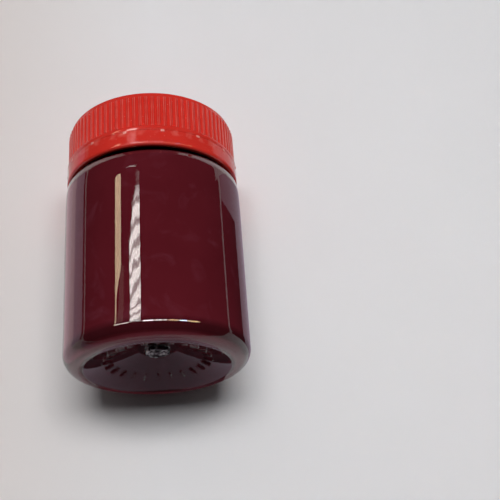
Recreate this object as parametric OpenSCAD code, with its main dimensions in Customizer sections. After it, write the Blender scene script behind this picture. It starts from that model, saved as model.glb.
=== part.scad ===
// Clear blown jar of paint with a ribbed screw cap and a tamper-evident band.
// The jar stands on its foot ring at z = 0, with its axis on Z. Sizes are in millimetres.

/* [Body] */
// Outside diameter of the straight wall
body_d = 48.5; // [40:0.5:70]
// Height of the shoulder ledge above the table
shoulder_z = 51.6; // [36:0.2:90]
// Thickness of the blown wall
wall = 0.9; // [0.5:0.05:1.4]
// Rounding between the wall and the foot ring
heel_r = 4; // [2.4:0.1:6]
// Rounding between the wall and the shoulder ledge
shoulder_r = 0.5; // [0.3:0.1:2.4]
// Height over which the wall curves in below the shoulder
taper_h = 6.5; // [3:0.5:12]
// How far the wall curves in below the shoulder
taper_in = 0.2; // [0.1:0.05:0.8]
// Width of the shoulder, from the wall to the neck
shoulder_w = 3.85; // [3.2:0.05:6]

/* [Base] */
// Width of the flat foot ring
foot_w = 1.3; // [0.8:0.1:2.4]
// Rounding of the foot ring's inner edge
foot_edge_r = 0.5; // [0.2:0.1:0.8]
// Height of the push-up's flat top above the table
pushup_h = 5.4; // [3:0.2:8]
// Radius of the push-up's flat top
pushup_r = 5.2; // [4:0.1:8]
// Thickness of the base
base_t = 1.2; // [0.8:0.1:2]
// Radius of the gate stud
gate_r = 3.2; // [1.6:0.1:4]
// Height of the gate stud
gate_h = 1.2; // [0.5:0.1:2.4]
// Number of plain raised bars round the push-up
bar_n = 24; // [8:1:36]
// Radius of the ring of bars, at their middles
bar_ring_r = 13; // [10:0.2:15]
// Length of one bar
bar_l = 2.4; // [1:0.2:4]
// Width of one bar
bar_w = 0.6; // [0.3:0.1:1.2]
// How far a bar stands out of the base
bar_h = 0.2; // [0.1:0.05:0.4]

/* [Neck] */
// Thickness of the neck wall
neck_wall = 1.7; // [1:0.1:2.2]
// Bevel where the shoulder's inside meets the bore
bore_bevel = 0.8; // [0.3:0.1:1.2]
// Rounding of the rim's outer edge
rim_edge_r = 0.4; // [0.2:0.1:0.7]
// How far the tamper bead stands out of the neck
bead_out = 2; // [1.6:0.1:2.8]
// Height of the tamper bead at the neck
bead_h = 1.8; // [1.2:0.1:2.2]
// Height of the tamper bead at its crest
bead_crest_h = 0.5; // [0.3:0.1:0.8]

/* [Thread] */
// Number of thread starts
thread_starts = 3; // [1:1:4]
// Distance along the axis between neighbouring starts
thread_pitch = 3; // [2.6:0.1:4]
// How far the thread stands out of the neck
thread_h = 1.1; // [0.7:0.05:1.4]
// Width of the thread at its root
thread_root_w = 1.4; // [1:0.1:1.7]
// Width of the thread at its crest
thread_crest_w = 0.7; // [0.4:0.1:0.9]
// How far each thread runs round, in degrees
thread_run = 160; // [80:5:200]
// Height of the neck thread's lower end above the cap's lower edge
thread_up = 2.2; // [1.4:0.1:3.2]

/* [Cap] */
// Height of the cap
cap_h = 12.55; // [11:0.05:18]
// Thickness of the cap's top
cap_top_t = 1.5; // [0.8:0.1:2]
// Thickness of the skirt behind the ribs
skirt_t = 1.35; // [1:0.05:2.4]
// Rounding of the top edge
cap_edge_r = 0.6; // [0.3:0.1:1]
// Radius of the gate mark on top
cap_gate_r = 2; // [1:0.1:4]
// Depth of the gate mark on top
cap_gate_depth = 0.25; // [0.1:0.05:0.4]
// Number of grip ribs
rib_n = 90; // [24:1:120]
// How far a rib stands out
rib_h = 0.5; // [0.2:0.05:0.8]
// Share of the rib spacing that the rib's foot takes
rib_foot_share = 0.72; // [0.5:0.02:0.9]
// Share of the rib spacing that the rib's crest takes
rib_crest_share = 0.34; // [0.2:0.02:0.45]
// Plain height left above the ribs
rib_top_gap = 1.1; // [0.8:0.1:2]
// Length of a rib's slope at its top
rib_slope_h = 0.8; // [0.3:0.1:1.5]
// Height of the smooth collar below the ribs
collar_h = 1.35; // [0.9:0.05:2]
// How far the collar stands out of the ribs
collar_out = 0.25; // [0.1:0.05:0.8]
// Thickness of the liner
liner_t = 1.2; // [0.8:0.1:1.8]
// Height of the ridge that keeps the liner in the cap
keeper_h = 0.6; // [0.4:0.1:0.9]
// How far that ridge reaches under the liner
keeper_grip = 0.25; // [0.15:0.05:0.4]

/* [Tamper band] */
// Height of the band
band_h = 4.4; // [3.6:0.1:6]
// Thickness of the band
band_t = 1.2; // [0.8:0.05:1.4]
// Rounding of the band's lower outer edge
band_edge_r = 0.7; // [0.3:0.1:1]
// Height of the catch inside the band's lower edge
catch_h = 1.8; // [1.2:0.1:2.2]
// How far the catch reaches under the bead
catch_grip = 0.5; // [0.3:0.05:0.8]
// Number of bridges between band and cap
bridge_n = 15; // [6:1:24]
// Width of one bridge
bridge_w = 1.1; // [0.6:0.1:2]
// Height of one bridge
bridge_h = 0.7; // [0.5:0.05:1.2]
// How far a bridge stands out of the band
bridge_out = 0.15; // [0.05:0.05:0.3]
// Angle of the first bridge, in degrees
bridge_angle = -38; // [-180:1:180]

/* [Fits] */
// Height of the slit between band and cap
slit_h = 0.25; // [0.2:0.05:0.6]
// Parted gap at the top of each bridge
bridge_gap = 0.1; // [0.05:0.01:0.15]
// Space between the shoulder and the band
band_lift = 1.7; // [1:0.1:3]
// Space between catch and bead
bead_gap = 0.3; // [0.2:0.05:0.5]
// Space round the neck thread, and between the cap's thread and the neck
thread_gap = 0.3; // [0.2:0.05:0.4]
// Space between the flanks that bear on each other
flank_gap = 0.15; // [0.05:0.05:0.3]
// Space round the liner
liner_gap = 0.3; // [0.15:0.05:0.5]
// Space above and below the liner
seal_gap = 0.05; // [0.02:0.01:0.1]
// Height of the air space above the paint
headspace = 7.5; // [4:0.5:14]

/* [Hidden] */
$fn = 96;

// Depth that a thread is sunk into its wall, and the angle of one of its steps
thread_sink = 0.3;
thread_step = 5;
// Angle at which the first neck thread starts
thread_angle = 12;
// Steps over which a thread fades out at each end
fade_steps = 4;
// Depth that a rib is sunk into what it stands on
root_sink = 0.15;
// Smallest rounding left inside a thick wall
least_r = 0.2;

// Long curve that draws the wall in: its radius, the angle it turns through and where it starts
taper_r = (taper_h * taper_h + taper_in * taper_in) / (2 * taper_in);
taper_a = asin(taper_h / taper_r);
taper_z = shoulder_z - shoulder_r * (1 - sin(taper_a)) - taper_h;

// Radii, from the body inwards and back out to the cap and the band
body_r = body_d / 2;
foot_out_r = body_r - heel_r;
foot_in_r = foot_out_r - foot_w;
pushup_edge_r = foot_in_r - foot_edge_r;
neck_r = body_r - shoulder_w;
bore_r = neck_r - neck_wall;
bead_r = neck_r + bead_out;
thread_r = neck_r + thread_h;
cap_in_r = thread_r + thread_gap;
cap_thread_r = neck_r + thread_gap;
cap_root_r = cap_in_r + skirt_t;
rib_r = cap_root_r + rib_h;
collar_r = max(rib_r + collar_out, bead_r + bead_gap + band_t);
band_in_r = collar_r - band_t;
catch_r = bead_r - catch_grip;
liner_r = cap_in_r - liner_gap;
keeper_r = liner_r - keeper_grip;

// Heights, stacked from the shoulder up to the cap's top
band_z = shoulder_z + band_lift;
bead_z = band_z + catch_h + bead_gap;
slit_z = band_z + band_h;
cap_z = slit_z + slit_h;
rib_z = cap_z + collar_h;
cap_top_z = cap_z + cap_h;
rib_top_z = cap_top_z - rib_top_gap;
ceiling_z = cap_top_z - cap_top_t;
liner_z = ceiling_z - seal_gap - liner_t;
rim_z = liner_z - seal_gap;
fill_z = rim_z - headspace;
keeper_z = liner_z - seal_gap - keeper_h;

// Thread: the cap's thread hangs below the neck's by half of each width and the flank gap
lead = thread_starts * thread_pitch;
thread_z = cap_z + thread_up;
flank_drop = (thread_root_w + thread_crest_w) / 2 + flank_gap;
cap_thread_z = cap_z + collar_h + thread_root_w;
cap_thread_angle = thread_angle + (cap_thread_z - thread_z + flank_drop) * 360 / lead;

// Slope of the push-up's cone
pushup_slope = atan2(pushup_h - foot_edge_r, pushup_edge_r - pushup_r);

// Points along an arc about (cx, cz), from angle a0 to a1
function arc(cx, cz, r, a0, a1, steps = 10) =
    [for (i = [0:steps]) let (a = a0 + (a1 - a0) * i / steps) [cx + r * cos(a), cz + r * sin(a)]];

// Height of the push-up's underside at radius r
function pushup_z(r) = pushup_h - (r - pushup_r) * tan(pushup_slope);

// Top of the wall: the long curve of radius r, then the rounding that turns onto the shoulder ledge
function shoulder_curve(r, round_r) =
    let (cx = body_r - taper_r, turn_r = r - round_r)
    concat(
        arc(cx, taper_z, r, 0, taper_a, 6),
        arc(cx + turn_r * cos(taper_a), taper_z + turn_r * sin(taper_a), round_r, taper_a, 90, 6)
    );

// Outside of the jar without its thread, from the gate stud round to the rim
function jar_outline() = concat(
    [
        [0, pushup_h - gate_h],
        [gate_r, pushup_h - gate_h],
        [gate_r, pushup_h],
        [pushup_r, pushup_h],
    ],
    arc(foot_in_r, foot_edge_r, foot_edge_r, 180, 270, 4),
    arc(foot_out_r, heel_r, heel_r, 270, 360),
    shoulder_curve(taper_r, shoulder_r),
    [
        [neck_r, shoulder_z],
        [neck_r, bead_z],
        [bead_r, bead_z],
        [bead_r, bead_z + bead_crest_h],
        [neck_r, bead_z + bead_h],
    ],
    arc(neck_r - rim_edge_r, rim_z - rim_edge_r, rim_edge_r, 0, 90, 4),
    [[0, rim_z]]
);

// Inside of the jar up to height top, from the middle of the base round to the axis
function cavity_outline(top) =
    let (heel_in_r = max(heel_r - wall, least_r), shoulder_in_r = max(shoulder_r - wall, least_r))
    concat(
        [
            [0, pushup_h + base_t],
            [pushup_r, pushup_h + base_t],
            [pushup_edge_r, foot_edge_r + base_t],
        ],
        arc(body_r - wall - heel_in_r, wall + heel_in_r, heel_in_r, 270, 360),
        shoulder_curve(taper_r - wall, shoulder_in_r),
        [
            [bore_r + bore_bevel, shoulder_z - wall],
            [bore_r, shoulder_z - wall + bore_bevel],
            [bore_r, top],
            [0, top],
        ]
    );

// One thread: a trapezoid swept up a helix, sunk into its wall and faded at both ends
module thread(root_r, crest_r, z, from) {
    out = sign(crest_r - root_r);
    steps = ceil(thread_run / thread_step);
    function fade(i) = min(1, i / fade_steps, (steps - i) / fade_steps);
    function section(i) =
        let (
            a = from + thread_run * i / steps,
            h = z + lead * (a - from) / 360,
            sunk = root_r - out * thread_sink,
            crest = sunk + out * root_sink + (crest_r - sunk - out * root_sink) * fade(i)
        )
        [for (p = [
            [sunk, -thread_root_w],
            [crest, -thread_crest_w],
            [crest, thread_crest_w],
            [sunk, thread_root_w],
        ]) [p.x * cos(a), p.x * sin(a), h + out * p.y / 2]];
    sides = [for (i = [0:steps - 1], j = [0:3]) [i * 4 + j, i * 4 + (j + 1) % 4]];
    polyhedron(
        points = [for (i = [0:steps], p = section(i)) p],
        faces = concat(
            [[3, 2, 1, 0], [for (j = [0:3]) steps * 4 + j]],
            [for (s = sides) [s[0], s[1], s[1] + 4]],
            [for (s = sides) [s[0], s[1] + 4, s[0] + 4]]
        )
    );
}

// All starts of a thread, spaced evenly round the axis
module threads(root_r, crest_r, z, from) {
    for (s = [0:thread_starts - 1])
        rotate(360 * s / thread_starts)
            thread(root_r, crest_r, z, from);
}

// Ring of plain raised bars on the underside of the push-up
module base_bars() {
    for (k = [0:bar_n - 1])
        rotate(360 * k / bar_n)
            translate([bar_ring_r, 0, pushup_z(bar_ring_r)])
                rotate([0, pushup_slope, 0])
                    cube([bar_l, bar_w, 2 * bar_h], center = true);
}

// Grip ribs, cut to a slope at their tops and sunk into the skirt and the collar
module ribs() {
    spacing = 360 / rib_n;
    foot_a = spacing * rib_foot_share / 2;
    crest_a = spacing * rib_crest_share / 2;
    sunk_r = cap_root_r - root_sink;
    corners = [[sunk_r, -foot_a], [rib_r, -crest_a], [rib_r, crest_a], [sunk_r, foot_a]];
    intersection() {
        translate([0, 0, rib_z - root_sink])
            linear_extrude(rib_top_z - rib_z + root_sink)
                polygon([
                    for (k = [0:rib_n - 1], c = corners)
                        [c[0] * cos(k * spacing + c[1]), c[0] * sin(k * spacing + c[1])]
                ]);
        rotate_extrude()
            polygon([
                [cap_root_r - 2 * root_sink, rib_z - root_sink],
                [rib_r + root_sink, rib_z - root_sink],
                [rib_r + root_sink, rib_top_z - rib_slope_h],
                [cap_root_r - root_sink, rib_top_z],
                [cap_root_r - 2 * root_sink, rib_top_z],
            ]);
    }
}

// Clear jar with its push-up base, shoulder, neck, tamper bead and thread
module jar() {
    color("lightsteelblue", 0.4) {
        difference() {
            rotate_extrude()
                polygon(jar_outline());
            rotate_extrude()
                polygon(cavity_outline(rim_z + 1));
        }
        threads(neck_r, thread_r, thread_z, thread_angle);
        base_bars();
    }
}

// Paint that fills the jar up to the air space
module paint() {
    color("#4e151c")
        rotate_extrude()
            polygon(cavity_outline(fill_z));
}

// Red band below the cap, caught under the bead, with the parted bridges on top
module tamper_band() {
    color("#c42620") {
        rotate_extrude()
            polygon(concat(
                [
                    [band_in_r, slit_z],
                    [band_in_r, band_z + catch_h],
                    [catch_r, band_z + catch_h],
                    [band_in_r - root_sink, band_z],
                ],
                arc(collar_r - band_edge_r, band_z + band_edge_r, band_edge_r, 270, 360, 6),
                [[collar_r, slit_z]]
            ));
        for (k = [0:bridge_n - 1])
            rotate(bridge_angle + 360 * k / bridge_n)
                translate([collar_r - band_t / 2, -bridge_w / 2, cap_z - bridge_gap - bridge_h])
                    cube([band_t / 2 + bridge_out, bridge_w, bridge_h]);
    }
}

// Foam wad that seals the rim
module cap_liner() {
    color("whitesmoke")
        translate([0, 0, liner_z])
            cylinder(h = liner_t, r = liner_r);
}

// Red cap with its ribbed skirt, collar, inside thread and the ridge that keeps the liner
module screw_cap() {
    color("#c42620") {
        difference() {
            rotate_extrude()
                polygon(concat(
                    [
                        [0, cap_z],
                        [collar_r, cap_z],
                        [collar_r, rib_z],
                        [cap_root_r, rib_z],
                    ],
                    arc(cap_root_r - cap_edge_r, cap_top_z - cap_edge_r, cap_edge_r, 0, 90, 6),
                    [
                        [cap_gate_r, cap_top_z],
                        [cap_gate_r, cap_top_z - cap_gate_depth],
                        [0, cap_top_z - cap_gate_depth],
                    ]
                ));
            rotate_extrude()
                polygon([
                    [0, cap_z - 1],
                    [band_in_r, cap_z - 1],
                    [band_in_r, cap_z + collar_h / 2],
                    [cap_in_r, cap_z + collar_h],
                    [cap_in_r, keeper_z],
                    [keeper_r, keeper_z + keeper_h / 2],
                    [cap_in_r, keeper_z + keeper_h],
                    [cap_in_r, ceiling_z],
                    [0, ceiling_z],
                ]);
        }
        ribs();
        threads(cap_in_r, cap_thread_r, cap_thread_z, cap_thread_angle);
    }
}

jar();
paint();
tamper_band();
cap_liner();
screw_cap();
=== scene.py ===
"""A clear blown jar of maroon paint with a red screw cap: surfaces, finishes, stage, light and camera.

Sizes are in millimetres and are turned into metres where a mesh is made. The jar's axis is Z, and it
stands on z = 0. The photograph shows it lying, so the table of that view is an upright plane behind it.
"""

import math

import bpy
import numpy as np
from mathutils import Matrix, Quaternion, Vector


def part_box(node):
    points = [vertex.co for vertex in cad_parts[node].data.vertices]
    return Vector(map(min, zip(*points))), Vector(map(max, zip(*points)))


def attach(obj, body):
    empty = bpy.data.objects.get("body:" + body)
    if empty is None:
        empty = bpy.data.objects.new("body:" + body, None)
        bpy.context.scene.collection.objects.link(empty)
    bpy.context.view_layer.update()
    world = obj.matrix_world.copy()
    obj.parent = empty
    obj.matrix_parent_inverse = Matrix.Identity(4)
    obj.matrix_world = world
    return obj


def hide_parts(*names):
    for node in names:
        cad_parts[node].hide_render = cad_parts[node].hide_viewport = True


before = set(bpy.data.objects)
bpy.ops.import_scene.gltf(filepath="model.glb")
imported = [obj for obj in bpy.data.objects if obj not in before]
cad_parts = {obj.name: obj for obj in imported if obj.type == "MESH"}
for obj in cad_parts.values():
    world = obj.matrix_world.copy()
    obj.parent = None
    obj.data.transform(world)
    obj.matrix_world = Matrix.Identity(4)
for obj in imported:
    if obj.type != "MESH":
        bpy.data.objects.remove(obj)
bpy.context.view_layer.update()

MM = 0.001
FULL_TURN = 2 * math.pi


def box_mm(node):
    """Lowest and highest corner of a CAD node, in millimetres."""
    low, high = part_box(node)
    return np.array(low) / MM, np.array(high) / MM


# Sizes read from the frame
JAR_HIGH = box_mm("jar")[1]
PAINT_HIGH = box_mm("paint")[1]
BAND_LOW = box_mm("tamper_band")[0]
CAP_LOW, CAP_HIGH = box_mm("screw_cap")
LINER_LOW, LINER_HIGH = box_mm("cap_liner")
BODY_R = JAR_HIGH[0]
RIM_Z = JAR_HIGH[2]
INNER_R = PAINT_HIGH[0]
FILL_Z = PAINT_HIGH[2]
WALL = BODY_R - INNER_R
BAND_Z = BAND_LOW[2]
CAP_Z = CAP_LOW[2]
CAP_TOP_Z = CAP_HIGH[2]
COLLAR_R = CAP_HIGH[0]
LINER_R = LINER_HIGH[0]
LINER_Z = LINER_LOW[2]

# Body and base of the jar
HEEL_R = 4.0
FOOT_IN_R = 19.1
FOOT_EDGE_R = 0.4
PUSHUP_R = 5.2
PUSHUP_H = 5.4
BASE_T = 1.2
GATE_R = 3.2
GATE_H = 1.2
GATE_NUB_R = 0.9
GATE_GROOVE_R = (1.4, 2.0)
GATE_GROOVE_D = 0.45
GATE_LIP_R = 2.5
GATE_DRAFT = 0.1
SHOULDER_Z = 51.6
SHOULDER_R = 0.5
TAPER_H = 6.5
TAPER_IN = 0.2

# Ring of plain bars on the push-up, which stand higher than the solid's so that they show
BAR_COUNT = 24
BAR_RING_R = 13.0
BAR_L = 2.4
BAR_W = 0.7
BAR_H = 0.45
BAR_FLANK = 0.14
BAR_END = 0.15
BAR_MARGIN = 0.3
BAR_HALF = (0.085, 0.103, 0.121, 0.14, 0.25, 0.4)
BAR_COLUMNS = (*(-share for share in BAR_HALF[::-1]), 0, *BAR_HALF)

# Neck and thread
SHOULDER_W = 3.85
NECK_WALL = 1.7
NECK_R = BODY_R - SHOULDER_W
BORE_R = NECK_R - NECK_WALL
BEAD_OUT = 2.0
BEAD_R = NECK_R + BEAD_OUT
BEAD_RISE = 2.1
BEAD_Z = BAND_Z + BEAD_RISE
BEAD_H = 1.8
BEAD_CREST_H = 0.5
THREAD_STARTS = 3
THREAD_LEAD = 9.0
THREAD_H = 1.1
THREAD_ROOT_W = 1.4
THREAD_CREST_W = 0.7
THREAD_RUN = 160.0
THREAD_ANGLE = 12.0
THREAD_RISE = 2.2
THREAD_Z = CAP_Z + THREAD_RISE
THREAD_FADE = 20.0
THREAD_GAP = 0.3
FLANK_GAP = 0.15

# Cap and band
CAP_IN_R = NECK_R + THREAD_H + THREAD_GAP
SKIRT_T = 1.35
CAP_ROOT_R = CAP_IN_R + SKIRT_T
CAP_TOP_T = 1.5
CAP_EDGE_R = 0.6
CAP_GATE_R = 2.3
CAP_GATE_BEVEL = 0.4
CAP_GATE_D = 0.25
KEEPER_H = 0.6
KEEPER_DROP = 0.65
KEEPER_IN = 0.25
COLLAR_H = 1.35
RIB_COUNT = 90
RIB_H = 0.5
RIB_FOOT = 0.72
RIB_CREST = 0.30
RIB_COLUMNS = (-0.36, -0.255, -0.15, 0, 0.15, 0.255, 0.36, 0.5)
RIB_TOP_GAP = 1.1
RIB_SLOPE_H = 0.8
RIB_START_H = 0.25
BAND_T = 1.2
BAND_IN_R = COLLAR_R - BAND_T
BAND_EDGE_R = 0.8
BAND_COLUMNS = 720
CATCH_H = 1.8
CATCH_HOLD = 0.5
CATCH_R = BEAD_R - CATCH_HOLD
CATCH_LEAN = 0.15
BRIDGE_COUNT = 15
BRIDGE_ANGLE = -38.0
BRIDGE_W = 1.1
BRIDGE_H = 0.7
BRIDGE_OUT = 0.15
BRIDGE_GAP = 0.05
BRIDGE_EASE = 0.35
BRIDGE_FOOT_H = 0.25

# Paint: how far it is let into the wall, and the meniscus where its top climbs the neck
PAINT_BITE = 0.05
PAINT_COLUMNS = 240
MENISCUS_RISE = 0.6
MENISCUS_DIP = 0.1
MENISCUS_W = 1.6

# The photograph's view: which way the camera stands round the jar, and the table behind it
VIEW_ANGLE = -45.0
TABLE_ANGLE = VIEW_ANGLE - 2.0


# Outlines and surfaces

ARC_SAG = 0.004
TOUCH = 0.01


def outline(corners):
    """Line through corners (r, z, rounding, step): each corner becomes an arc of its rounding radius
    that touches both its sides, cut into chords that stray from it by ARC_SAG at most, and the straight
    stretch after a corner is cut into pieces of about step."""
    spots = np.array([c[:2] for c in corners], float)
    ways = np.diff(spots, axis=0)
    ways /= np.linalg.norm(ways, axis=1)[:, None]
    runs = [spots[:1]]
    for k in range(1, len(spots) - 1):
        came, goes, radius = ways[k - 1], ways[k], corners[k][2]
        turn = math.atan2(came[0] * goes[1] - came[1] * goes[0], came @ goes)
        start = spots[k] - came * radius * abs(math.tan(turn / 2))
        side = np.array([-came[1], came[0]]) * np.sign(turn)
        chord = 2 * math.acos(1 - ARC_SAG / radius) if radius else math.pi
        chords = max(2, math.ceil(abs(turn) / chord))
        angle = np.linspace(0, turn, chords + 1) if radius else np.zeros(1)
        arm = -side * radius
        swung = np.stack([
            arm[0] * np.cos(angle) - arm[1] * np.sin(angle),
            arm[0] * np.sin(angle) + arm[1] * np.cos(angle),
        ], axis=1)
        runs.append(start + side * radius + swung)
    runs.append(spots[-1:])
    line = []
    for k, run in enumerate(runs[:-1]):
        gap = np.linalg.norm(runs[k + 1][0] - run[-1])
        cuts = max(1, round(gap / corners[k][3]))
        share = np.arange(1, cuts)[:, None] / cuts
        line += [run, run[-1] + (runs[k + 1][0] - run[-1]) * share]
    return np.vstack(line + [runs[-1]])


def smooth(x):
    """Eased step from 0 to 1: 3x^2 - 2x^3 of x held between 0 and 1."""
    x = np.clip(x, 0, 1)
    return x * x * (3 - 2 * x)


def normals_of(line):
    """Unit normal of an outline, to the right of its run, from the slope between a point's neighbours."""
    run = np.gradient(line, axis=0)
    run /= np.linalg.norm(run, axis=1)[:, None] + 1e-12
    return np.stack([run[:, 1], -run[:, 0]], axis=1)


def sectors(count, shares=(0,)):
    """Angles round the axis: count equal sectors, each with a column at the same shares of itself."""
    return ((np.arange(count)[:, None] + np.array(shares)) * FULL_TURN / count).ravel()


def turned(name, line, angles, push, closed=False):
    """Surface of revolution: point (r, z) of the line at angle t lies at (r cos t, r sin t, z).
    push(t, r, z) gives how far it moves along the line's normal. A line that is not closed starts and ends
    on the axis."""
    t = angles[None, :]
    columns = len(angles)
    r, z = line[:, :1], line[:, 1:]
    out = push(t, r, z)
    across = normals_of(line)
    r = r + out * across[:, :1]
    z = z + out * across[:, 1:]
    grid = np.stack([r * np.cos(t), r * np.sin(t), z + 0 * t], axis=2)
    if closed:
        return mesh_piece(name, grid.reshape(-1, 3), rings(len(line), columns, closed))
    points = np.vstack([grid[1:-1].reshape(-1, 3), [[0, 0, line[0, 1]], [0, 0, line[-1, 1]]]])
    first, last = len(points) - 2, len(points) - 1
    ring = np.arange(columns)
    ahead = np.roll(ring, -1)
    top = first - columns
    faces = rings(len(line) - 2, columns, closed)
    faces += np.stack([0 * ring + first, ahead, ring], axis=1).tolist()
    faces += np.stack([ring + top, ahead + top, 0 * ring + last], axis=1).tolist()
    return mesh_piece(name, points, faces)


def rings(rows, columns, closed):
    """Four-cornered faces between rows of points round the axis, and from the last row to the first if
    closed."""
    index = np.arange(rows * columns).reshape(rows, columns)
    ahead = np.roll(index, -1, axis=1)
    above = np.roll(index, -1, axis=0)
    quads = np.stack([index, ahead, np.roll(ahead, -1, axis=0), above], axis=2)
    return quads[:rows if closed else rows - 1].reshape(-1, 4).tolist()


def mesh_piece(name, points, faces):
    """Smooth-shaded mesh object at the origin, from points in millimetres."""
    mesh = bpy.data.meshes.new(name)
    mesh.from_pydata((points * MM).tolist(), [], faces)
    mesh.polygons.foreach_set("use_smooth", np.ones(len(mesh.polygons), bool))
    mesh.update()
    piece = bpy.data.objects.new(name, mesh)
    bpy.context.scene.collection.objects.link(piece)
    return piece


def stands_for(piece, node, body):
    """The piece is shown in place of a CAD node and moves with its body."""
    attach(piece, body)
    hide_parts(node)
    return piece


# Shapes

def thread_ridge(t, z, start_z, start_angle):
    """Height from 0 to 1 of the thread at angle t and height z: for each start, a trapezoid about the
    helix start_z + lead * turn, eased at its flanks and faded over the first and last degrees of its run."""
    ridge = 0
    for k in range(THREAD_STARTS):
        along = (np.degrees(t) - start_angle - k * 360 / THREAD_STARTS) % 360
        away = np.abs(z - start_z - THREAD_LEAD * along / 360)
        flank = (THREAD_ROOT_W / 2 - away) / ((THREAD_ROOT_W - THREAD_CREST_W) / 2)
        ends = np.minimum(along, THREAD_RUN - along) / THREAD_FADE
        ridge = np.maximum(ridge, smooth(flank) * smooth(ends))
    return ridge


def pushup_z(r):
    """Height of the push-up's underside, a cone from its flat top down to the foot ring."""
    return PUSHUP_H * (FOOT_IN_R - r) / (FOOT_IN_R - PUSHUP_R)


def shoulder_corners(radius_in):
    """Corners of the wall's top, moved in by radius_in: the long curve and the turn onto the ledge."""
    lean = 2 * math.atan(TAPER_IN / TAPER_H)
    curve_r = TAPER_H / math.sin(lean)
    bend_z = SHOULDER_Z - SHOULDER_R * (1 - math.sin(lean)) - TAPER_H + curve_r * math.tan(lean / 2)
    ledge_r = BODY_R - (SHOULDER_Z - bend_z) * math.tan(lean)
    return [
        (BODY_R - radius_in, bend_z, curve_r - radius_in, 2),
        (ledge_r - radius_in, SHOULDER_Z - radius_in, max(SHOULDER_R - radius_in, 0.3), 1),
    ]


def cavity_corners():
    """Corners of the jar's inside, from the neck's bore down the wall to the middle of the base."""
    return [
        (BORE_R, SHOULDER_Z - WALL, 0.8, 1),
        *shoulder_corners(WALL)[::-1],
        (INNER_R, WALL, HEEL_R - WALL, 1),
        (FOOT_IN_R + 0.45, WALL, 0.4, 3),
        (PUSHUP_R, PUSHUP_H + BASE_T, 1.5, 1),
        (0, PUSHUP_H + BASE_T, 0, 1),
    ]


def jar_push(t, r, z):
    """Neck thread, and the ring of plain bars on the push-up, as heights above the turned surface."""
    neck = (np.abs(r - NECK_R) < TOUCH) & (z > CAP_Z)
    thread = THREAD_H * thread_ridge(t, z, THREAD_Z, THREAD_ANGLE) * neck
    spacing = FULL_TURN / BAR_COUNT
    across = np.abs((t + spacing / 2) % spacing - spacing / 2) * BAR_RING_R
    under = (np.abs(z - pushup_z(r)) < TOUCH) & (r > PUSHUP_R)
    side = smooth((BAR_W / 2 - across) / BAR_FLANK + 0.5)
    end = smooth((BAR_L / 2 - np.abs(r - BAR_RING_R)) / BAR_END + 0.5)
    return thread + BAR_H * side * end * under


def make_jar():
    """Jar: its outside from the gate stud to the rim and its inside back to the base, turned in one run."""
    bar_in = BAR_RING_R - BAR_L / 2 - BAR_MARGIN
    bar_out = BAR_RING_R + BAR_L / 2 + BAR_MARGIN
    gate_z = PUSHUP_H - GATE_H
    groove_in, groove_out = GATE_GROOVE_R
    line = outline([
        (0, gate_z, 0, 0.4),
        (GATE_NUB_R, gate_z, 0.2, 0.4),
        (groove_in, gate_z + GATE_GROOVE_D, 0.3, 0.3),
        (groove_out, gate_z + GATE_GROOVE_D, 0.3, 0.3),
        (GATE_LIP_R, gate_z, 0.2, 0.3),
        (GATE_R, gate_z, 0.3, 0.5),
        (GATE_R + GATE_DRAFT, PUSHUP_H, 0.3, 0.5),
        (PUSHUP_R, PUSHUP_H, 0.3, 2),
        (bar_in, pushup_z(bar_in), 0, 0.15),
        (bar_out, pushup_z(bar_out), 0, 1.5),
        (FOOT_IN_R, 0, FOOT_EDGE_R, 1),
        (BODY_R, 0, HEEL_R, 4),
        *shoulder_corners(0),
        (NECK_R, SHOULDER_Z, 0.6, 1.5),
        (NECK_R, BEAD_Z, 0.2, 1),
        (BEAD_R, BEAD_Z, 0.25, 1),
        (BEAD_R, BEAD_Z + BEAD_CREST_H, 0.2, 1),
        (NECK_R, BEAD_Z + BEAD_H, 0.3, 0.22),
        (NECK_R, RIM_Z, 0.4, 1),
        (BORE_R, RIM_Z, 0.4, 4),
        *cavity_corners(),
    ])
    return turned("clear_jar", line, sectors(BAR_COUNT, BAR_COLUMNS), jar_push)


def make_paint():
    """Paint: the jar's inside, let into the wall by a hair so that it wets it, with a meniscus on top."""
    line = outline([
        *cavity_corners()[::-1],
        (BORE_R, FILL_Z + MENISCUS_RISE, 0.1, 1),
        (BORE_R - MENISCUS_W, FILL_Z - MENISCUS_DIP, 1.2, 4),
        (0, FILL_Z - MENISCUS_DIP, 0, 1),
    ])
    return turned("maroon_paint", line, sectors(PAINT_COLUMNS), lambda t, r, z: PAINT_BITE + 0 * t * r)


def cap_push(t, r, z):
    """Grip ribs outside, trapezoids with eased flanks that slope away at their tops, and the thread
    inside."""
    share = np.abs((t * RIB_COUNT / FULL_TURN + 0.5) % 1 - 0.5)
    rib = smooth((RIB_FOOT / 2 - share) / ((RIB_FOOT - RIB_CREST) / 2))
    rib_z = CAP_Z + COLLAR_H
    rib_top = CAP_TOP_Z - RIB_TOP_GAP
    height = smooth((rib_top - z) / RIB_SLOPE_H) * smooth((z - rib_z) / RIB_START_H)
    outside = np.abs(r - CAP_ROOT_R) < TOUCH
    inside = np.abs(r - CAP_IN_R) < TOUCH
    drop = (THREAD_ROOT_W + THREAD_CREST_W) / 2 + FLANK_GAP
    start_z = CAP_Z + COLLAR_H + THREAD_ROOT_W
    angle = THREAD_ANGLE + (start_z - THREAD_Z + drop) * 360 / THREAD_LEAD
    depth = CAP_IN_R - NECK_R - THREAD_GAP
    return RIB_H * rib * height * outside + depth * thread_ridge(t, z, start_z, angle) * inside


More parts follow.
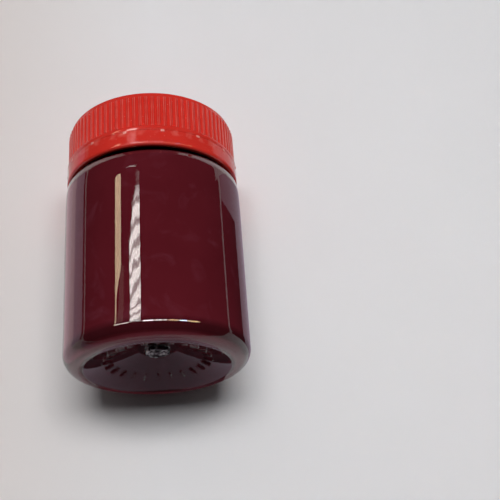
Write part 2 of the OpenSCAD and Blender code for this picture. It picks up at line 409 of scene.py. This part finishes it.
def make_cap():
    """Cap: its inside from the middle of the ceiling down to the skirt's edge, then its outside up to the
    top."""
    ceiling = CAP_TOP_Z - CAP_TOP_T
    keeper = LINER_Z - KEEPER_DROP
    gate_z = CAP_TOP_Z - CAP_GATE_D
    rib_z = CAP_Z + COLLAR_H
    line = outline([
        (0, ceiling, 0, 6),
        (CAP_IN_R, ceiling, 0.2, 1),
        (CAP_IN_R, keeper + KEEPER_H, 0.1, 1),
        (LINER_R - KEEPER_IN, keeper + KEEPER_H / 2, 0.1, 1),
        (CAP_IN_R, keeper, 0.1, 0.24),
        (CAP_IN_R, rib_z, 0.3, 1),
        (BAND_IN_R, CAP_Z + COLLAR_H / 2, 0.2, 1),
        (BAND_IN_R, CAP_Z, 0.1, 1),
        (COLLAR_R, CAP_Z, 0.04, 1),
        (COLLAR_R, rib_z, 0.3, 1),
        (CAP_ROOT_R, rib_z + 0.05, 0.1, 0.1),
        (CAP_ROOT_R, rib_z + 0.5, 0, 2.5),
        (CAP_ROOT_R, CAP_TOP_Z - RIB_TOP_GAP - RIB_SLOPE_H, 0, 0.12),
        (CAP_ROOT_R, CAP_TOP_Z, CAP_EDGE_R, 6),
        (CAP_GATE_R, CAP_TOP_Z, 0.3, 0.4),
        (CAP_GATE_R - CAP_GATE_BEVEL, gate_z, 0.2, 0.6),
        (0, gate_z, 0, 1),
    ])
    return turned("red_screw_cap", line, sectors(RIB_COUNT, RIB_COLUMNS), cap_push)


def band_push(t, r, z):
    """Small proud bridges along the band's top edge, each an eased bump of the bridge's width and
    height."""
    spacing = FULL_TURN / BRIDGE_COUNT
    first = math.radians(BRIDGE_ANGLE)
    across = np.abs((t - first + spacing / 2) % spacing - spacing / 2) * COLLAR_R
    low = CAP_Z - BRIDGE_GAP - BRIDGE_H
    rise = smooth((z - low) / BRIDGE_FOOT_H)
    bump = smooth((BRIDGE_W / 2 - across) / BRIDGE_EASE + 0.4) * rise
    return BRIDGE_OUT * bump * (r > COLLAR_R - BAND_T / 2)


def make_band():
    """Tamper band: a ring with a rounded lower edge and a catch inside, turned as a closed outline."""
    top = CAP_Z - BRIDGE_GAP
    line = outline([
        (BAND_IN_R + BAND_T / 2, top, 0, 0.5),
        (BAND_IN_R, top, 0.1, 1),
        (BAND_IN_R, BAND_Z + CATCH_H, 0.1, 0.5),
        (CATCH_R, BAND_Z + CATCH_H, 0.1, 1),
        (BAND_IN_R - CATCH_LEAN, BAND_Z, 0.2, 0.5),
        (COLLAR_R, BAND_Z, BAND_EDGE_R, 0.5),
        (COLLAR_R, top - 1, 0, 0.12),
        (COLLAR_R, top, 0.04, 0.12),
        (BAND_IN_R + BAND_T / 2 + 0.1, top, 0, 0.5),
    ])
    return turned("red_tamper_band", line, sectors(BAND_COLUMNS), band_push, closed=True)


# Finishes

def linear(code):
    """Linear colour of an sRGB hex value."""
    parts = np.array([int(code[k:k + 2], 16) for k in (1, 3, 5)]) / 255
    low, high = parts / 12.92, ((parts + 0.055) / 1.055) ** 2.4
    return (*np.where(parts <= 0.04045, low, high), 1.0)


def finish_named(name):
    """New material with an empty node tree, and that tree."""
    material = bpy.data.materials.new(name)
    material.use_nodes = True
    material.node_tree.nodes.clear()
    return material, material.node_tree


def add(tree, kind, **given):
    """Adds a shader node. A word in small letters is a setting of the node. Any other word is an input, with
    underscores for spaces, and in0, in1 and so on are the inputs of those numbers. An input is given a
    value, an output of another node, or another node, which stands for its first output."""
    node = tree.nodes.new("ShaderNode" + kind)
    for key, value in given.items():
        numbered = key.startswith("in") and key[2:].isdigit()
        if key.islower() and not numbered:
            setattr(node, key, value)
            continue
        socket = node.inputs[int(key[2:]) if numbered else key.replace("_", " ")]
        if isinstance(value, bpy.types.Node):
            value = value.outputs[0]
        if isinstance(value, bpy.types.NodeSocket):
            tree.links.new(value, socket)
        else:
            socket.default_value = value
    return node


MIXED = 2  # the output of a colour mix that holds its colour
PET_IOR = 1.575


def per_metre(size_mm):
    """Texture scale at which one pattern cell is about size_mm wide, with coordinates in metres."""
    return 1 / (size_mm * MM)


def red_polypropylene():
    """Moulded polypropylene: an even, slightly see-deep red with a bright skin, faint flow shades and fine
    mould grain. Painted highlights pale it along the ribs' edges and on the band's bridges; it has paler
    patches round the joint below the collar, and it holds a few specks of dust. Grain and dust are drawn
    coarser than real ones, so that they show."""
    material, tree = finish_named("moulded red polypropylene")
    place = add(tree, "TexCoord").outputs["Object"]
    flow = add(tree, "TexNoise", Vector=place, Scale=per_metre(6), Detail=3.0)
    grain = add(tree, "TexNoise", Vector=place, Scale=per_metre(0.35), Detail=2.0)
    patch_noise = add(tree, "TexNoise", Vector=place, Scale=per_metre(2.5), Detail=4.0)
    x, y, z = add(tree, "SeparateXYZ", Vector=place).outputs
    flat = add(tree, "CombineXYZ", X=x, Y=y)
    out = add(tree, "VectorMath", operation="LENGTH", in0=flat).outputs["Value"]

    # Painted highlights along the ribs' edges, found by their share of a rib's spacing
    turn = add(tree, "Math", operation="ARCTAN2", in0=y, in1=x)
    rib = add(tree, "Math", operation="MULTIPLY", in0=turn, in1=RIB_COUNT / FULL_TURN)
    off_middle = add(tree, "Math", operation="PINGPONG", in0=rib, in1=0.5)
    past_edge = add(tree, "Math", operation="SUBTRACT", in0=off_middle, in1=RIB_CREST / 2)
    off_edge = add(tree, "Math", operation="ABSOLUTE", in0=past_edge)
    edge = add(tree, "MapRange", Value=off_edge, From_Min=0.07, From_Max=0.0)
    crest = add(
        tree, "MapRange", Value=out,
        From_Min=(CAP_ROOT_R + 0.6 * RIB_H) * MM, From_Max=(CAP_ROOT_R + 0.9 * RIB_H) * MM,
    )
    skirt = add(tree, "Math", operation="GREATER_THAN", in0=z, in1=(CAP_Z + COLLAR_H + 0.1) * MM)
    on_ribs = add(tree, "Math", operation="MULTIPLY", in0=crest, in1=skirt)
    rib_edge = add(tree, "Math", operation="MULTIPLY", in0=edge, in1=on_ribs)
    highlight_sway = add(tree, "MapRange", Value=patch_noise, From_Min=0.35, From_Max=0.65, To_Min=0.2, To_Max=0.55)
    # Painted highlight along the ribs' edges, broken up by noise
    painted_rib_highlight = add(tree, "Math", operation="MULTIPLY", in0=rib_edge, in1=highlight_sway)

    # Paler patches round the joint, painted highlights on the band's bridges, and dust
    joint_z = (CAP_Z - 0.7) * MM
    past_joint = add(tree, "Math", operation="SUBTRACT", in0=z, in1=joint_z)
    off_joint = add(tree, "Math", operation="ABSOLUTE", in0=past_joint)
    joint = add(tree, "MapRange", Value=off_joint, From_Min=1.3 * MM, From_Max=0.6 * MM)
    joint_patch_level = add(tree, "MapRange", Value=patch_noise, From_Min=0.45, From_Max=0.65, To_Max=0.2)
    joint_patches = add(tree, "Math", operation="MULTIPLY", in0=joint, in1=joint_patch_level)
    # Painted highlight on the band's bridges
    painted_bridge_glint = add(
        tree, "MapRange", Value=out,
        From_Min=(COLLAR_R + 0.04) * MM, From_Max=(COLLAR_R + 0.13) * MM, To_Max=0.8,
    )
    speck = add(tree, "TexNoise", Vector=place, Scale=per_metre(0.5), Detail=1.0)
    dust = add(tree, "MapRange", Value=speck, From_Min=0.74, From_Max=0.8, To_Max=0.5)
    rib_highlight_or_joint_patch = add(tree, "Math", operation="MAXIMUM", in0=painted_rib_highlight, in1=joint_patches)
    bridge_glint_or_dust = add(tree, "Math", operation="MAXIMUM", in0=painted_bridge_glint, in1=dust)
    highlights_patches_and_dust = add(tree, "Math", operation="MAXIMUM", in0=rib_highlight_or_joint_patch, in1=bridge_glint_or_dust)

    shade = add(
        tree, "Mix", data_type="RGBA", in0=flow, in6=linear("#cb2d24"), in7=linear("#d5352b"),
    ).outputs[MIXED]
    # Pale colour mixed in for the painted highlights, the paler patches round the joint and the dust
    colour = add(
        tree, "Mix", data_type="RGBA", in0=highlights_patches_and_dust, in6=shade, in7=linear("#e89488"),
    ).outputs[MIXED]
    bump = add(tree, "Bump", Height=grain, Strength=0.1, Distance=0.02 * MM)
    rough = add(tree, "MapRange", Value=grain, From_Min=0.2, From_Max=0.8, To_Min=0.03, To_Max=0.08)
    skin = add(
        tree, "BsdfPrincipled", Base_Color=colour, Roughness=rough, Normal=bump, IOR=1.49,
        Subsurface_Weight=0.1, Subsurface_Radius=(1.0, 0.25, 0.2), Subsurface_Scale=0.8 * MM,
    )
    add(tree, "OutputMaterial", Surface=skin)
    return material


def clear_pet():
    """Stretch-blown PET: a bright clear skin that mirrors lamps sharply, with a slight blown waviness and
    faint scuffs, drawn coarser than real ones so that they show. Light from lamps and from lit surfaces
    goes straight through it onto the paint."""
    material, tree = finish_named("stretch-blown clear PET")
    place = add(tree, "TexCoord").outputs["Object"]
    wave = add(tree, "TexNoise", Vector=place, Scale=per_metre(9), Detail=1.0)
    bump = add(tree, "Bump", Height=wave, Strength=0.25, Distance=0.05 * MM)
    scuff = add(tree, "TexNoise", Vector=place, Scale=per_metre(1.2), Detail=6.0)
    rough = add(tree, "MapRange", Value=scuff, From_Min=0.5, From_Max=0.85, To_Max=0.04)
    clear = add(
        tree, "BsdfPrincipled", Base_Color=linear("#f4f4f6"), Roughness=rough, Normal=bump,
        IOR=PET_IOR, Transmission_Weight=1.0,
    )
    path = add(tree, "LightPath").outputs
    pass_on = add(tree, "BsdfTransparent", Color=linear("#f4f4f6"))
    pass_dim = add(tree, "BsdfTransparent", Color=linear("#b4b4b8"))
    soft = add(tree, "MixShader", in0=path["Is Diffuse Ray"], in1=clear, in2=pass_dim)
    mix = add(tree, "MixShader", in0=path["Is Shadow Ray"], in1=soft, in2=pass_on)
    add(tree, "OutputMaterial", Surface=mix)
    return material


def gate_pet():
    """PET at the gate: cooled slowly, so it is hazy and grey where the rest is clear, with pale flecks that
    are painted glints, drawn coarser than real ones so that they show."""
    material, tree = finish_named("crystallised PET at the gate")
    place = add(tree, "TexCoord").outputs["Object"]
    fleck = add(tree, "TexNoise", Vector=place, Scale=per_metre(1.1), Detail=2.0)
    # Pale flecks: painted glints
    painted_glints = add(tree, "MapRange", Value=fleck, From_Min=0.5, From_Max=0.64)
    shade = add(
        tree, "Mix", data_type="RGBA", in0=painted_glints, in6=linear("#392c34"), in7=linear("#d0c8ce"),
    ).outputs[MIXED]
    hazy = add(tree, "BsdfPrincipled", Base_Color=shade, Roughness=0.12, IOR=PET_IOR)
    add(tree, "OutputMaterial", Surface=hazy)
    return material


def maroon_paint(name, gloss):
    """Water-based paint: a dense dark maroon with faint clouds and wisps of pigment. Where it wets the wall
    it has no gloss of its own, because the wall's plastic bends light as the paint does; its free top is
    glossy. It has painted shade behind the heel's bend and painted light along the foot, where light comes
    up through the plastic."""
    material, tree = finish_named(name)
    place = add(tree, "TexCoord").outputs["Object"]
    cloud = add(tree, "TexNoise", Vector=place, Scale=per_metre(14), Detail=4.0)
    shade = add(
        tree, "Mix", data_type="RGBA", in0=cloud, in6=linear("#58141c"), in7=linear("#681e27"),
    ).outputs[MIXED]
    wisp = add(tree, "TexNoise", Vector=place, Scale=per_metre(9), Detail=5.0, Distortion=1.5)
    wisps = add(tree, "MapRange", Value=wisp, From_Min=0.55, From_Max=0.75, To_Max=0.4)
    streaked = add(
        tree, "Mix", data_type="RGBA", in0=wisps, in6=shade, in7=linear("#733340"),
    ).outputs[MIXED]

    # Painted shade behind the heel and painted light along the foot, outside the foot ring's inner edge
    x, y, z = add(tree, "SeparateXYZ", Vector=place).outputs
    flat = add(tree, "CombineXYZ", X=x, Y=y)
    out = add(tree, "VectorMath", operation="LENGTH", in0=flat).outputs["Value"]
    outer = add(
        tree, "MapRange", Value=out, From_Min=(FOOT_IN_R + 0.4) * MM, From_Max=(FOOT_IN_R + 1.2) * MM,
    )
    heel_low = add(tree, "MapRange", Value=z, From_Min=1.4 * MM, From_Max=2.2 * MM)
    heel_high = add(tree, "MapRange", Value=z, From_Min=5.4 * MM, From_Max=3.6 * MM)
    heel = add(tree, "Math", operation="MULTIPLY", in0=heel_low, in1=heel_high)
    heel_shade_share = add(tree, "Math", operation="MULTIPLY", in0=outer, in1=0.85)
    deep = add(tree, "Math", operation="MULTIPLY", in0=heel, in1=heel_shade_share)
    foot = add(tree, "MapRange", Value=z, From_Min=1.8 * MM, From_Max=1.1 * MM)
    low = add(tree, "Math", operation="MULTIPLY", in0=foot, in1=outer)
    # Painted shade behind the heel's bend
    heel_shaded = add(
        tree, "Mix", data_type="RGBA", in0=deep, in6=streaked, in7=linear("#3a0e13"),
    ).outputs[MIXED]
    # Painted light along the foot
    shaded = add(
        tree, "Mix", data_type="RGBA", in0=low, in6=heel_shaded, in7=linear("#93404b"),
    ).outputs[MIXED]

    swirl = add(tree, "TexNoise", Vector=place, Scale=per_metre(5), Detail=2.0)
    bump = add(tree, "Bump", Height=swirl, Strength=0.3, Distance=0.2 * MM)
    wet = add(
        tree, "BsdfPrincipled", Base_Color=shaded, Roughness=0.3, Normal=bump, Specular_IOR_Level=gloss,
    )
    add(tree, "OutputMaterial", Surface=wet)
    return material


def liner_foam():
    """Expanded polyethylene wad: matt off-white with a skin of closed cells, drawn coarser than real ones so
    that they show."""
    material, tree = finish_named("expanded polyethylene foam")
    place = add(tree, "TexCoord").outputs["Object"]
    cells = add(tree, "TexVoronoi", Vector=place, Scale=per_metre(0.5))
    shade = add(
        tree, "Mix", data_type="RGBA", in0=cells, in6=linear("#e9e8e2"), in7=linear("#d9d7cf"),
    ).outputs[MIXED]
    bump = add(tree, "Bump", Height=cells, Strength=0.4, Distance=0.1 * MM)
    foam = add(tree, "BsdfPrincipled", Base_Color=shade, Roughness=0.8, Normal=bump, IOR=1.5)
    add(tree, "OutputMaterial", Surface=foam)
    return material


def dress(piece, material):
    """Gives a new piece its material, or puts it into the slots that a CAD node already has."""
    if not piece.material_slots:
        piece.data.materials.append(material)
    for slot in piece.material_slots:
        slot.material = material


def second_finish(piece, material, chosen):
    """Gives a second material to the faces whose middles, as columns x, y and z in millimetres, are
    chosen."""
    middles = np.empty(3 * len(piece.data.polygons))
    piece.data.polygons.foreach_get("center", middles)
    picked = chosen(*(middles.reshape(-1, 3).T / MM))
    piece.data.materials.append(material)
    piece.data.polygons.foreach_set("material_index", picked.astype(np.int32))


STUD_REACH = GATE_R + 0.15
STUD_TOP_Z = PUSHUP_H - 0.1
FREE_TOP_Z = FILL_Z - 0.5


def on_gate(x, y, z):
    """Faces of the gate stud, below the push-up's top."""
    return (np.hypot(x, y) < STUD_REACH) & (z < STUD_TOP_Z)


def on_free_top(x, y, z):
    """Faces of the paint's free top."""
    return z > FREE_TOP_Z


RED = red_polypropylene()
jar = stands_for(make_jar(), "jar", "jar")
dress(jar, clear_pet())
second_finish(jar, gate_pet(), on_gate)
paint = stands_for(make_paint(), "paint", "jar")
dress(paint, maroon_paint("maroon acrylic paint on the wall", 0.0))
second_finish(paint, maroon_paint("wet maroon acrylic paint", 0.5), on_free_top)
dress(stands_for(make_band(), "tamper_band", "band"), RED)
dress(stands_for(make_cap(), "screw_cap", "cap"), RED)
dress(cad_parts["cap_liner"], liner_foam())


# Stage

def toward(angle, elevation):
    """Unit vector at an angle round the jar, counted from the view's own angle, and an elevation above
    z = 0."""
    a, e = math.radians(VIEW_ANGLE + angle), math.radians(elevation)
    return np.array([math.cos(e) * math.cos(a), math.cos(e) * math.sin(a), math.sin(e)])


def sheet(name, spots, finish):
    """Flat stage sheet with its corners given in millimetres."""
    piece = mesh_piece(name, np.array(spots), [list(range(len(spots)))])
    dress(piece, finish)
    return piece


TABLE_REACH = 700.0
TABLE_NORMAL = toward(TABLE_ANGLE - VIEW_ANGLE, 0)
TABLE_ALONG = np.array([-TABLE_NORMAL[1], TABLE_NORMAL[0], 0])
UP = np.array([0, 0, 1.0])


def table_finish():
    """Pale laminate of the table: matt, a shade warmer towards its left, and seen from its upper side
    only."""
    material, tree = finish_named("pale table")
    place = add(tree, "TexCoord").outputs["Object"]
    cloud = add(tree, "TexNoise", Vector=place, Scale=per_metre(60), Detail=3.0)
    shade = add(
        tree, "Mix", data_type="RGBA", in0=cloud, in6=linear("#dedcdd"), in7=linear("#e4e2e3"),
    ).outputs[MIXED]
    along = add(
        tree, "VectorMath", operation="DOT_PRODUCT", in0=place, in1=tuple(TABLE_ALONG),
    ).outputs["Value"]
    leftward = add(tree, "MapRange", Value=along, From_Min=0.0, From_Max=-60 * MM)
    warmed = add(
        tree, "Mix", data_type="RGBA", in0=leftward, in6=shade, in7=linear("#d6cecb"),
    ).outputs[MIXED]
    top = add(tree, "BsdfPrincipled", Base_Color=warmed, Roughness=0.6)
    clear = add(tree, "BsdfTransparent")
    back = add(tree, "NewGeometry").outputs["Backfacing"]
    shadow = add(tree, "LightPath").outputs["Is Shadow Ray"]
    hide = add(tree, "Math", operation="MAXIMUM", in0=back, in1=shadow)
    mix = add(tree, "MixShader", in0=hide, in1=top, in2=clear)
    add(tree, "OutputMaterial", Surface=mix)
    return material


def floor_finish():
    """Pale floor for the upright views: seen by the camera and through clear plastic, and only from
    above."""
    material, tree = finish_named("pale floor")
    top = add(tree, "BsdfPrincipled", Base_Color=linear("#e1dfe0"), Roughness=0.7)
    clear = add(tree, "BsdfTransparent")
    back = add(tree, "NewGeometry").outputs["Backfacing"]
    path = add(tree, "LightPath").outputs
    seen = add(tree, "Math", operation="MAXIMUM", in0=path["Is Camera Ray"], in1=path["Is Transmission Ray"])
    front = add(tree, "Math", operation="SUBTRACT", use_clamp=True, in0=seen, in1=back)
    mix = add(tree, "MixShader", in0=front, in1=clear, in2=top)
    add(tree, "OutputMaterial", Surface=mix)
    return material


def on_table(along, height, above=0.0):
    """Point of the table at a distance along it from the jar's axis, a height, and a distance above it."""
    return TABLE_ALONG * along + UP * height + TABLE_NORMAL * (above - BODY_R)


CORNERS = np.array([[-1, -1], [1, -1], [1, 1], [-1, 1]]) * TABLE_REACH
sheet("stage_table", [on_table(*c) for c in CORNERS], table_finish())
sheet("stage_floor", [(*c, 0) for c in CORNERS], floor_finish())


# Light

def lamp(name, at, aim, width, height, radiance, colour):
    """Flat rectangular lamp at a place in millimetres, facing aim. It lights surfaces and isn't mirrored."""
    data = bpy.data.lights.new(name, "AREA")
    data.shape = "RECTANGLE"
    data.size, data.size_y = width * MM, height * MM
    data.energy = radiance * math.pi * data.size * data.size_y
    data.color = linear(colour)[:3]
    ob = bpy.data.objects.new(name, data)
    bpy.context.scene.collection.objects.link(ob)
    ob.location = Vector(at) * MM
    ob.rotation_euler = (Vector(aim) - Vector(at)).to_track_quat("-Z", "Y").to_euler()
    ob.visible_glossy = False
    ob.visible_transmission = False
    ob.visible_camera = False


# Lamps as name, angle, elevation, distance, width, height, radiance and colour
LAMPS = (
    ("key_soft", 0, 10.5, 2400, 1800, 640, 13.6, "#fbfdfe"),
    ("fill_soft", -4, 30, 900, 1000, 1000, 0.2, "#fbfdfe"),
    ("rear_soft", 180, 20, 1800, 1800, 1800, 3.2, "#fffdfa"),
)
MID = np.array([0, 0, 35.0])
for name, angle, elevation, far, width, height, radiance, colour in LAMPS:
    lamp(name, MID + toward(angle, elevation) * far, MID, width, height, radiance, colour)


# Cards that only show mirrored in the jar and cap, as the room round the table does

CARD_FAR = 900.0
SHADE_REACH = 17.0


def shine_forward(material, tree, colour, power):
    """Ends a card's material: light of a colour and power from its front, and nothing from its back."""
    shine = add(tree, "Emission", Color=linear(colour), Strength=power)
    clear = add(tree, "BsdfTransparent")
    back = add(tree, "NewGeometry").outputs["Backfacing"]
    mix = add(tree, "MixShader", in0=back, in1=shine, in2=clear)
    add(tree, "OutputMaterial", Surface=mix)
    material.cycles.emission_sampling = "NONE"
    return material


def glow(name, colour, radiance):
    """Even light of a card."""
    material, tree = finish_named(name)
    return shine_forward(material, tree, colour, radiance)


def grainy_glow(name, colour, radiance, sway):
    """Light of a card with a grain that sways by a share of it."""
    material, tree = finish_named(name)
    place = add(tree, "TexCoord").outputs["Object"]
    grain = add(tree, "TexNoise", Vector=place, Scale=per_metre(9), Detail=2.0)
    power = add(
        tree, "MapRange", Value=grain, From_Min=0.35, From_Max=0.65,
        To_Min=radiance * (1 - sway), To_Max=radiance * (1 + sway),
    )
    return shine_forward(material, tree, colour, power)


def shade_glow(name, colour, middle, side):
    """Light of the table in the shade under the base: dim in its middle and lighter to both sides."""
    material, tree = finish_named(name)
    place = add(tree, "TexCoord").outputs["Object"]
    along = add(
        tree, "VectorMath", operation="DOT_PRODUCT", in0=place, in1=tuple(TABLE_ALONG),
    ).outputs["Value"]
    aside = add(tree, "Math", operation="ABSOLUTE", in0=along)
    power = add(
        tree, "MapRange", Value=aside, From_Min=4 * MM, From_Max=SHADE_REACH * MM,
        To_Min=middle, To_Max=side,
    )
    return shine_forward(material, tree, colour, power)


def blind_glow(name, colour, radiance):
    """Light of a window behind a blind: bright bands with narrower dim bands between them that fall to the
    right, grainy, with a combed left edge that narrows the light towards its top."""
    material, tree = finish_named(name)
    place = add(tree, "TexCoord").outputs["Object"]
    across = add(
        tree, "VectorMath", operation="DOT_PRODUCT", in0=place, in1=tuple(toward(66, 0)),
    ).outputs["Value"]
    high = add(tree, "SeparateXYZ", Vector=place).outputs["Z"]
    combed = add(tree, "Mapping", Vector=place, Scale=(1, 1, 12))
    comb = add(tree, "TexNoise", Vector=combed, Scale=per_metre(50), Detail=3.0)
    cloud = add(tree, "TexNoise", Vector=place, Scale=per_metre(60), Detail=3.0)
    grain = add(tree, "TexNoise", Vector=place, Scale=per_metre(7), Detail=2.0)

    # Bands 31 mm apart that fall to the right and sway
    fall = add(tree, "Math", operation="MULTIPLY_ADD", in0=across, in1=-0.14, in2=high)
    swayed = add(tree, "Math", operation="MULTIPLY_ADD", in0=cloud, in1=0.03, in2=fall)
    phase = add(tree, "Math", operation="MULTIPLY", in0=swayed, in1=FULL_TURN * per_metre(31))
    wave = add(tree, "Math", operation="SINE", in0=phase)
    band = add(tree, "MapRange", Value=wave, From_Min=-0.9, From_Max=0.1, To_Min=0.3, To_Max=1.05)
    speckle = add(tree, "MapRange", Value=grain, From_Min=0.3, From_Max=0.7, To_Min=0.75, To_Max=1.15)
    level = add(tree, "Math", operation="MULTIPLY", in0=band, in1=speckle)

    # Left edge, which moves right towards the top and is ragged, and the light's fading top
    start = add(
        tree, "MapRange", Value=high, From_Min=470 * MM, From_Max=575 * MM, To_Min=-0.12, To_Max=0.065,
    )
    ragged = add(tree, "Math", operation="MULTIPLY_ADD", in0=comb, in1=0.12, in2=across)
    past_start = add(tree, "Math", operation="SUBTRACT", in0=ragged, in1=start)
    inside = add(tree, "MapRange", Value=past_start, From_Min=0.035, From_Max=0.075)
    thin = add(
        tree, "MapRange", Value=high, From_Min=535 * MM, From_Max=580 * MM, To_Min=1.0, To_Max=0.08,
    )
    let_in = add(tree, "Math", operation="MULTIPLY", in0=level, in1=inside)
    strength = add(tree, "Math", operation="MULTIPLY", in0=thin, in1=radiance)
    power = add(tree, "Math", operation="MULTIPLY", in0=let_in, in1=strength)
    return shine_forward(material, tree, colour, power)


def card(name, spots, finish):
    """Stage sheet that only reflections show."""
    piece = sheet(name, spots, finish)
    piece.visible_camera = False
    piece.visible_diffuse = False
    piece.visible_transmission = False
    piece.visible_shadow = False


def round_jar(corners):
    """Points at angles round the jar and heights, CARD_FAR from its axis, in the order that faces the
    jar."""
    return [toward(angle, 0) * CARD_FAR + UP * height for angle, height in corners[::-1]]


card("card_warm", round_jar([
    (-50.0, 130), (-49.0, 130), (-47.8, 398), (-41.9, 446), (-41.1, 600), (-42.6, 609), (-48.6, 588),
]), grainy_glow("warm lamp", "#ffe4bc", 7.0, 0.25))
card("card_warm_dim", round_jar([
    (-48.6, 300), (-40.0, 300), (-38.4, 446), (-43.0, 446),
]), glow("dim wall", "#ffdcd0", 0.5))
card("card_white", round_jar([
    (-31.2, 250), (-18.4, 250), (-17.2, 480), (-16.6, 615), (-31.2, 615),
]), blind_glow("window behind a blind", "#fffaf6", 13.8))
card("card_lamp", round_jar([
    (-34, 640), (-22, 640), (-20, 653), (-30, 652),
]), glow("small lamp", "#fff4f0", 4.0))

# Windows low on the camera's side, as angles (from, to), radiance and colour
WINDOWS = (
    (-49, -32, 14, "#ffe8e0"),
    (-15, -3.5, 42, "#fff0ee"),
    (-0.5, 11.5, 42, "#fff0ee"),
    (14.5, 24, 22, "#f0c090"),
    (27, 34.5, 64, "#cfdcff"),
    (37.5, 50, 22, "#f0c090"),
)
WINDOW_LOW, WINDOW_HIGH = 168, 245
for k, (first, last, radiance, colour) in enumerate(WINDOWS):
    spots = round_jar([(first, WINDOW_LOW), (last, WINDOW_LOW), (last, WINDOW_HIGH), (first, WINDOW_HIGH)])
    card("card_window_%d" % k, spots, glow("window light", colour, radiance))

# Painted shade and light of the table, as sheets just above it that only reflections show: distances
# (from, to) along it from the jar's axis, heights (low, and high as a start and a slope), light and colour.
# A later one lies a little above those before it.
SHADED, LIT = "#ecd6ea", "#f2d2da"
STRETCHES = (
    (26, 208, 4, 50, 0.6, 0.5, SHADED),
    (58, 208, 4, 28, 0.6, 0.02, SHADED),
    (300, 690, 4, 50, 0.6, 0.02, SHADED),
    (-91, -40, -40, 50, 0.6, 1.05, LIT),
    (-251, -91, 4, 80, 0.6, 0.65, SHADED),
    (-400, -251, 4, 80, 0.6, 0.02, SHADED),
    (-32, 22, -120, -58, 0, 0.42, SHADED),
    (-400, -60, -120, -55, 0, 0.42, SHADED),
    (-400, -90, -700, -120, 0, 0.05, SHADED),
    (-18, 18, -6, -0.3, 0, 0.03, SHADED),
)
CARD_ABOVE = 1.0
CARD_STEP = 0.1
for k, (first, last, low, start, slope, light, colour) in enumerate(STRETCHES):
    above = CARD_ABOVE + CARD_STEP * k
    spots = [on_table(first, low, above), on_table(last, low, above)]
    spots += [on_table(side, start + slope * abs(side), above) for side in (last, first)]
    card("card_table_%d" % k, spots, glow("dim table", colour, light))

SHADE_LOW, SHADE_HIGH = -45, -6
card("card_shade", [
    on_table(-SHADE_REACH, SHADE_LOW, CARD_ABOVE), on_table(SHADE_REACH, SHADE_LOW, CARD_ABOVE),
    on_table(SHADE_REACH, SHADE_HIGH, CARD_ABOVE), on_table(-SHADE_REACH, SHADE_HIGH, CARD_ABOVE),
], shade_glow("table under the base", SHADED, 0.31, 0.48))


# Room: a pale backdrop for the camera, a near-dark one for mirrors, and soft light from above for the rest

world = bpy.data.worlds.new("room")
bpy.context.scene.world = world
world.use_nodes = True
tree = world.node_tree
tree.nodes.clear()
path = add(tree, "LightPath").outputs
seen = add(tree, "Math", operation="MAXIMUM", in0=path["Is Camera Ray"], in1=path["Is Transmission Ray"])
way = add(tree, "TexCoord").outputs["Generated"]
rise = add(tree, "SeparateXYZ", Vector=way).outputs["Z"]
sky = add(tree, "MapRange", Value=rise, From_Min=-0.5, From_Max=0.5, To_Min=0.01, To_Max=0.2)
soft = add(tree, "Background", Color=linear("#f4f4f6"), Strength=sky)
room = add(tree, "Background", Color=linear("#f4f4f6"), Strength=0.015)
backdrop = add(tree, "Background", Color=linear("#dddcdd"), Strength=1.0)
lit = add(tree, "MixShader", in0=path["Is Glossy Ray"], in1=soft, in2=room)
shown = add(tree, "MixShader", in0=seen, in1=lit, in2=backdrop)
add(tree, "OutputWorld", Surface=shown)


# Camera: where it stood, what its middle looks at, its roll and its lens, worked out from the photograph

CAMERA_AT = np.array([153.572, -153.572, -75.783])
CAMERA_AIM = np.array([15.607, 22.399, 36.020])
CAMERA_ROLL = 4.72
CAMERA_LENS = 63.42
CAMERA_SENSOR = 36.0
CAMERA_NEAR = 0.01

data = bpy.data.cameras.new("photo_camera")
data.sensor_width = CAMERA_SENSOR
data.lens = CAMERA_LENS
data.clip_start = CAMERA_NEAR
camera = bpy.data.objects.new("photo_camera", data)
bpy.context.scene.collection.objects.link(camera)
camera.location = Vector(CAMERA_AT) * MM
camera.rotation_mode = "QUATERNION"
look = (Vector(CAMERA_AIM) - Vector(CAMERA_AT)).to_track_quat("-Z", "Y")
camera.rotation_quaternion = look @ Quaternion((0, 0, 1), -math.radians(CAMERA_ROLL))
bpy.context.scene.camera = camera
bpy.context.scene.view_settings.view_transform = "Standard"
